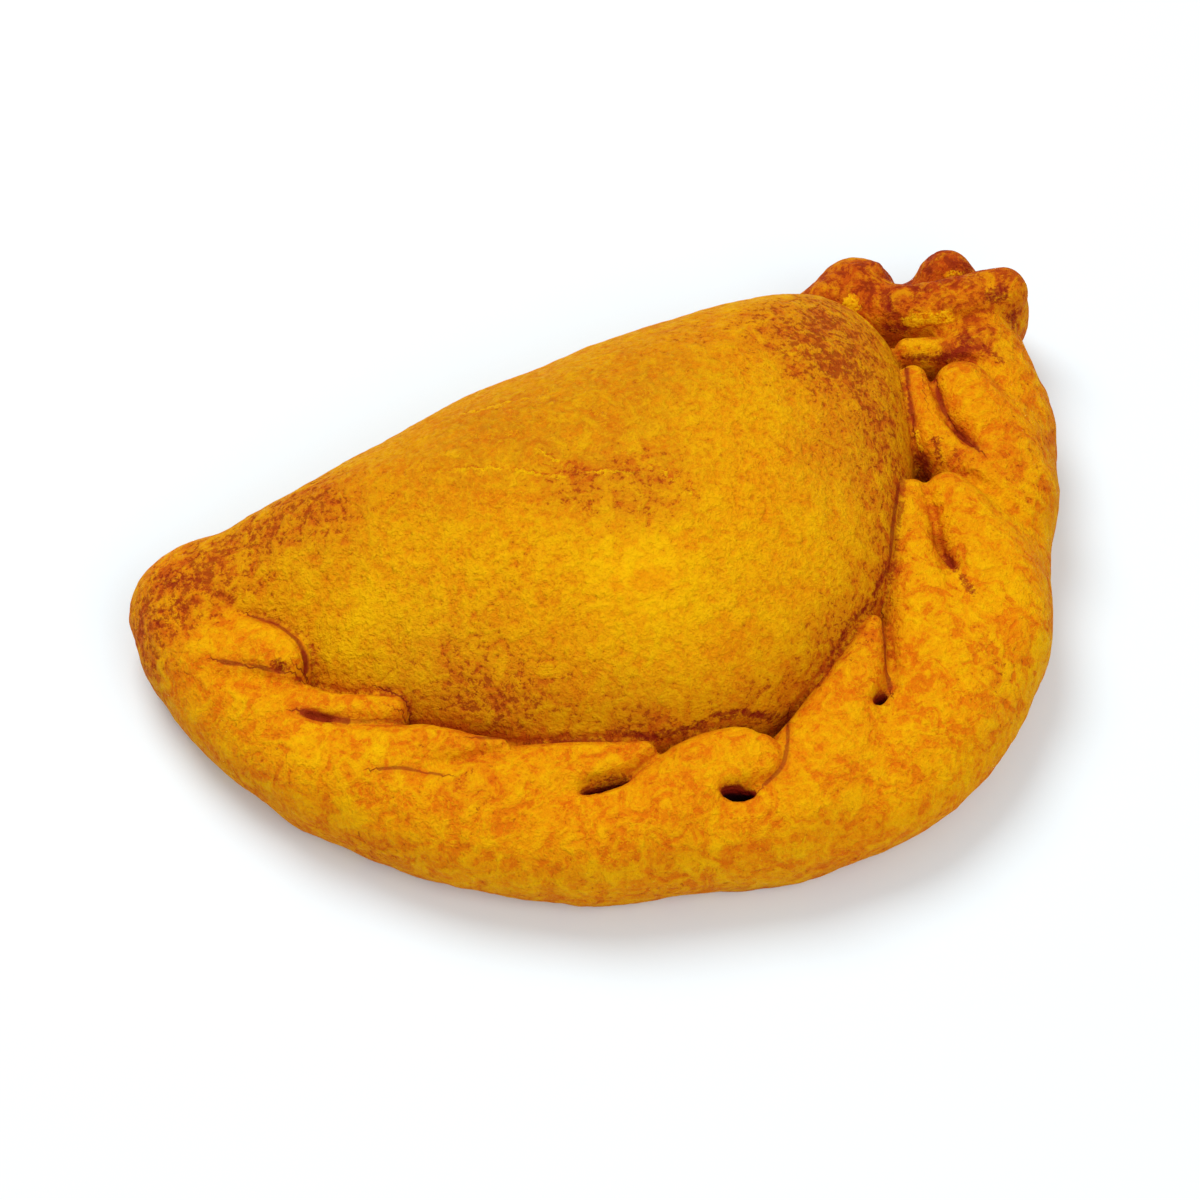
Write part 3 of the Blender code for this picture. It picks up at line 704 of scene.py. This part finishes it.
class Graph:
    """Short names for the nodes of one material."""

    def __init__(self, material):
        material.use_nodes = True
        self.nodes, self.links = material.node_tree.nodes, material.node_tree.links
        self.shader = self.nodes["Principled BSDF"]
        place = self.nodes.new("ShaderNodeTexCoord").outputs["Object"]
        scale = self.nodes.new("ShaderNodeVectorMath")
        scale.operation = "SCALE"
        scale.inputs["Scale"].default_value = 1 / MM
        self.links.new(place, scale.inputs[0])
        self.place = scale.outputs[0]

    def feed(self, socket, value):
        if isinstance(value, bpy.types.NodeSocket):
            self.links.new(value, socket)
        else:
            socket.default_value = value

    def fact(self, name):
        node = self.nodes.new("ShaderNodeAttribute")
        node.attribute_name = name
        return node.outputs["Fac"]

    def noise(self, size, detail, rough, warp, shift):
        """Noise with features about `size` mm across."""
        move = self.nodes.new("ShaderNodeMapping")
        move.inputs["Location"].default_value = (shift, 2 * shift, -shift)
        self.links.new(self.place, move.inputs["Vector"])
        node = self.nodes.new("ShaderNodeTexNoise")
        node.inputs["Scale"].default_value = 1 / size
        node.inputs["Detail"].default_value = detail
        node.inputs["Roughness"].default_value = rough
        node.inputs["Distortion"].default_value = warp
        self.links.new(move.outputs[0], node.inputs["Vector"])
        return node.outputs["Fac"]

    def math(self, operation, *values):
        node = self.nodes.new("ShaderNodeMath")
        node.operation = operation
        for socket, value in zip(node.inputs, values):
            self.feed(socket, value)
        return node.outputs[0]

    def add(self, a, b):
        return self.math("ADD", a, b)

    def times(self, a, b):
        return self.math("MULTIPLY", a, b)

    def step(self, value, low, high, out_low=0.0, out_high=1.0):
        node = self.nodes.new("ShaderNodeMapRange")
        node.interpolation_type = "SMOOTHSTEP"
        for name, item in (("Value", value), ("From Min", low), ("From Max", high),
                           ("To Min", out_low), ("To Max", out_high)):
            self.feed(node.inputs[name], item)
        return node.outputs["Result"]

    def mix(self, share, a, b):
        node = self.nodes.new("ShaderNodeMix")
        node.data_type = "RGBA"
        self.feed(node.inputs["Factor"], share)
        self.feed(node.inputs[6], a)
        self.feed(node.inputs[7], b)
        return node.outputs[2]


def crust_material():
    material = bpy.data.materials.new("baked_crust")
    g = Graph(material)
    toast_and_shade, pale_and_highlit, rim = g.fact("toast_and_shade"), g.fact("pale_and_highlit"), g.fact("rim")
    hollow_shade, shade, seam, pit = g.fact("hollow_shade"), g.fact("shade"), g.fact("seam"), g.fact("pit")
    red, crumb = g.fact("red"), g.fact("crumb")

    broad, blotch, smudge = g.noise(*BROAD), g.noise(*BLOTCH), g.noise(*SMUDGE)
    mottle, grain, flake = g.noise(*MOTTLE), g.noise(*GRAIN), g.noise(*FLAKE)
    ragged = g.add(g.add(mottle, grain), -1.0)

    # Golden dough, deeper on the rim, paler in patches that are partly lighter dough and partly painted
    # highlight.
    colour = g.mix(g.step(g.add(broad, g.times(rim, 0.22)), 0.40, 0.80), GOLD, HONEY)
    # browner, duller patches, partly painted shade on the pillow's upper back
    colour = g.mix(g.times(g.fact("dull_and_shaded"), g.step(blotch, 0.35, 0.65, 0.4, 0.8)), colour, OCHRE)
    colour = g.mix(g.times(pale_and_highlit, g.step(blotch, 0.75, 0.30)), colour, LEMON)
    colour = g.mix(g.times(g.step(blotch, 0.48, 0.64), g.step(rim, 0.0, 1.0, 0.3, 0.7)), colour, AMBER)
    colour = g.mix(g.times(g.step(smudge, 0.52, 0.60), g.step(rim, 0.0, 1.0, 0.15, 0.5)), colour, AMBER)
    lacy = g.add(smudge, g.times(g.add(mottle, -0.5), 0.7))
    colour = g.mix(g.times(g.step(lacy, 0.53, 0.62), g.times(rim, 0.50)), colour, EMBER)
    colour = g.mix(g.times(g.step(lacy, 0.46, 0.38), g.times(rim, 0.25)), colour, LEMON)
    colour = g.mix(g.times(g.step(smudge, 0.48, 0.32), 0.35), colour, LEMON)

    # Fine flakes: darker granules where the relief presses in, and painted highlight lines on their
    # edges.
    even = g.times(g.step(rim, 0.0, 1.0, 1.0, 0.7), g.step(pale_and_highlit, 0.1, 1.0, 1.0, 0.4))
    rough = g.times(g.step(smudge, 0.36, 0.62, 0.6, 1.0), even)
    colour = g.mix(g.times(g.step(mottle, 0.44, 0.64), g.times(rough, 0.48)), colour, AMBER)
    colour = g.mix(g.times(g.step(grain, 0.46, 0.66), g.times(rough, 0.34)), colour, TOAST)
    colour = g.mix(g.times(g.step(grain, 0.48, 0.34), g.times(rough, 0.28)), colour, LEMON)
    colour = g.mix(g.times(g.step(flake, 0.52, 0.70), g.times(rough, 0.28)), colour, TOAST)
    # painted highlight: thin bright lines on the flakes' edges
    edge_highlight = g.math("ABSOLUTE", g.add(g.noise(*EDGE_HIGHLIGHT_NOISE), -0.5))
    edge_highlight = g.times(g.step(edge_highlight, 0.022, 0.004), g.step(blotch, 0.45, 0.60, 0.1, 0.35))
    colour = g.mix(edge_highlight, colour, LEMON)

    # Toasted patches, with painted shade beside the rim and a crease: a warm tint under granules that
    # crowd together as they darken.
    toast_and_shade = g.times(toast_and_shade, g.step(smudge, 0.34, 0.62, 0.6, 1.35))
    colour = g.mix(g.times(g.step(toast_and_shade, 0.0, 1.1), 0.50), colour, TOAST)
    edge = g.add(0.66, g.times(toast_and_shade, -0.17))
    past = g.add(edge, 0.12)
    colour = g.mix(g.times(g.step(mottle, edge, past), 0.45), colour, RUSSET)
    colour = g.mix(g.times(g.step(grain, edge, past), 0.65), colour, UMBER)

    # The knot: orange lumps with red smudges.
    colour = g.mix(g.times(red, g.step(smudge, 0.60, 0.38, 0.75, 0.25)), colour, RUSSET)
    colour = g.mix(g.times(red, g.times(g.step(lacy, 0.53, 0.62), 0.75)), colour, UMBER)
    colour = g.mix(g.times(red, g.times(g.step(mottle, 0.52, 0.62), 0.5)), colour, UMBER)

    # Where folds tuck in: painted shade in hollows and pits, dark crust along the seam, and streaks and
    # lines that are partly both.
    # painted shade: the wide and the narrow hollow measures darken creases and the skin under folds
    colour = g.mix(g.times(g.step(shade, 0.30, 0.95), 0.25), colour, TOAST)
    colour = g.mix(g.times(g.step(g.add(hollow_shade, ragged), 0.35, 0.85), 0.6), colour, RUSSET)
    colour = g.mix(g.times(g.step(g.add(seam, g.times(ragged, 2.0)), 0.55, 1.05), 0.55), colour, UMBER)
    crisp = g.add(g.add(g.times(grain, 1.6), g.times(flake, 1.2)), -1.4)
    # dark red streaks: scorched crust, and painted shade in the pits and crevices between folds
    scorch_and_shade = g.fact("scorch_and_shade")
    scorch_and_shade = g.add(scorch_and_shade, g.times(g.step(scorch_and_shade, 0.0, 0.4), g.times(crisp, 1.3)))
    colour = g.mix(g.times(g.step(scorch_and_shade, 0.30, 0.65), 0.65), colour, UMBER)
    colour = g.mix(g.times(g.step(scorch_and_shade, 0.70, 1.00), 0.75), colour, OXBLOOD)
    # fine lines in the creases, partly dark crust and partly painted shade, with a soft band of painted
    # shade beside them
    beside, crease = g.math("ABSOLUTE", g.fact("line_side")), g.fact("line")
    colour = g.mix(g.times(g.step(beside, 4.0, 0.5), g.times(crease, 0.4)), colour, RUSSET)
    beside = g.add(beside, g.times(ragged, 0.6))
    colour = g.mix(g.times(g.step(beside, 1.3, 0.5), crease), colour, OXBLOOD)
    # pits: rims partly browning and partly painted shade, then painted shade that deepens to near black
    # inside
    pit_rim_browning_and_shade = g.times(g.step(g.add(pit, g.times(ragged, 0.5)), 0.02, 0.30), g.step(pit, 0.0, 0.12))
    colour = g.mix(pit_rim_browning_and_shade, colour, UMBER)
    colour = g.mix(g.step(pit, 0.25, 0.65), colour, OXBLOOD)
    colour = g.mix(g.step(pit, 0.75, 1.0), colour, PIT_SHADOW_BLACK)

    # Hairline cracks with a bright flaking lip that is painted highlight and a dark line that is painted
    # shadow in the crack, and raw crumb.
    crack = g.fact("crack")
    wander = g.add(g.times(g.add(g.noise(*WANDER), -0.5), 5.0), g.fact("crack_side"))
    broken = g.times(crack, g.step(grain, 0.42, 0.54))
    line = g.times(g.step(g.math("ABSOLUTE", wander), 0.26, 0.06), broken)
    lip = g.times(g.step(g.math("ABSOLUTE", g.add(wander, 0.40)), 0.42, 0.05), crack)
    # painted highlight on the lip, then painted shadow along the crack
    colour = g.mix(g.times(lip, g.step(mottle, 0.58, 0.44, 0.1, 0.7)), colour, LEMON)
    colour = g.mix(g.times(line, 0.6), colour, RUSSET)
    torn = g.times(g.step(g.add(crumb, g.times(ragged, 1.4)), 0.42, 0.62), g.step(crumb, 0.05, 0.30))
    colour = g.mix(g.times(torn, 0.85), colour, g.mix(g.step(grain, 0.44, 0.66), CRUMB, AMBER))
    g.feed(g.shader.inputs["Base Color"], colour)

    g.feed(g.shader.inputs["Roughness"], g.step(grain, 0.35, 0.65, 0.60, 0.85))
    g.shader.inputs["Specular IOR Level"].default_value = 0.03

    height = g.add(g.times(mottle, MOTTLE_RELIEF), g.times(grain, GRAIN_RELIEF))
    height = g.times(height, g.step(even, 0.0, 1.0, 0.3, 1.0))
    height = g.add(height, g.times(flake, FLAKE_RELIEF))
    height = g.add(height, g.times(smudge, SMUDGE_RELIEF))
    height = g.add(height, g.times(torn, TORN_RELIEF))
    height = g.add(height, g.times(g.times(g.step(beside, 2.2, 0.0), crease), LINE_RELIEF))
    bump = g.nodes.new("ShaderNodeBump")
    bump.inputs["Strength"].default_value = 1.0
    bump.inputs["Distance"].default_value = RELIEF_DEPTH
    g.feed(bump.inputs["Height"], height)
    g.feed(g.shader.inputs["Normal"], bump.outputs["Normal"])
    return material


FLOOR_COLOUR, FLOOR_GLOW = (0.70, 0.76, 0.79, 1), 0.09
FLOOR_SIZE = 6              # metres


def floor_material():
    material = bpy.data.materials.new("white_floor")
    material.use_nodes = True
    shader = material.node_tree.nodes["Principled BSDF"]
    shader.inputs["Base Color"].default_value = FLOOR_COLOUR
    shader.inputs["Emission Color"].default_value = (1, 1, 1, 1)
    shader.inputs["Emission Strength"].default_value = FLOOR_GLOW
    shader.inputs["Roughness"].default_value = 0.9
    shader.inputs["Specular IOR Level"].default_value = 0.0
    return material


# ---- studio ----

VIEW_AZIMUTH, VIEW_ELEVATION = -27.0, 55.0      # degrees
VIEW_DISTANCE = 600.0                           # mm
VIEW_TARGET = (-10.2, 7.1, 15.0)                # mm, in the form's own place
TARGET_DROP = 2.24                              # mm, from that point to the middle of the frame
PIXELS_PER_MM, FRAME_PIXELS = 6.7, 1200
SENSOR = 36.0
WORLD_STRENGTH = 0.53
KEY = {"azimuth": -170, "elevation": 60, "distance": 0.9, "size": 0.55, "power": 5.2}
FILL = {"azimuth": 5, "elevation": 50, "distance": 1.0, "size": 0.8, "power": 4.0}


def direction(azimuth, elevation):
    a, e = math.radians(azimuth), math.radians(elevation)
    return Vector((math.sin(a) * math.cos(e), -math.cos(a) * math.cos(e), math.sin(e)))


def aim(thing, back):
    thing.rotation_euler = back.to_track_quat("Z", "Y").to_euler()


def make_camera(shift):
    back = direction(VIEW_AZIMUTH, VIEW_ELEVATION)
    data = bpy.data.cameras.new("camera")
    data.sensor_width = SENSOR
    data.lens = SENSOR * PIXELS_PER_MM * VIEW_DISTANCE / FRAME_PIXELS
    camera = bpy.data.objects.new("camera", data)
    bpy.context.scene.collection.objects.link(camera)
    aim(camera, back)
    up = camera.rotation_euler.to_quaternion() @ Vector((0, 1, 0))
    middle = Vector(VIEW_TARGET) * MM + Vector(shift) - up * TARGET_DROP * MM
    camera.location = middle + back * VIEW_DISTANCE * MM
    bpy.context.scene.camera = camera


def make_lamp(name, azimuth, elevation, distance, size, power):
    data = bpy.data.lights.new(name, "AREA")
    data.shape, data.size, data.energy = "DISK", size, power
    lamp = bpy.data.objects.new(name, data)
    bpy.context.scene.collection.objects.link(lamp)
    back = direction(azimuth, elevation)
    lamp.location = back * distance
    aim(lamp, back)


def make_studio():
    world = bpy.data.worlds.new("studio")
    world.use_nodes = True
    world.node_tree.nodes["Background"].inputs["Color"].default_value = (1, 1, 1, 1)
    world.node_tree.nodes["Background"].inputs["Strength"].default_value = WORLD_STRENGTH
    scene = bpy.context.scene
    scene.world = world
    scene.view_settings.view_transform = "Standard"
    scene.view_settings.look = "None"
    make_lamp("key", **KEY)
    make_lamp("fill", **FILL)
    bpy.ops.mesh.primitive_plane_add(size=FLOOR_SIZE)
    floor = bpy.context.object
    floor.name = "floor"
    floor.data.materials.append(floor_material())


# ---- put together ----

crust, form_shift = make_crust()
crust.data.materials.clear()
crust.data.materials.append(crust_material())
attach(crust, "root")
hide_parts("crust")
make_studio()
make_camera(form_shift)
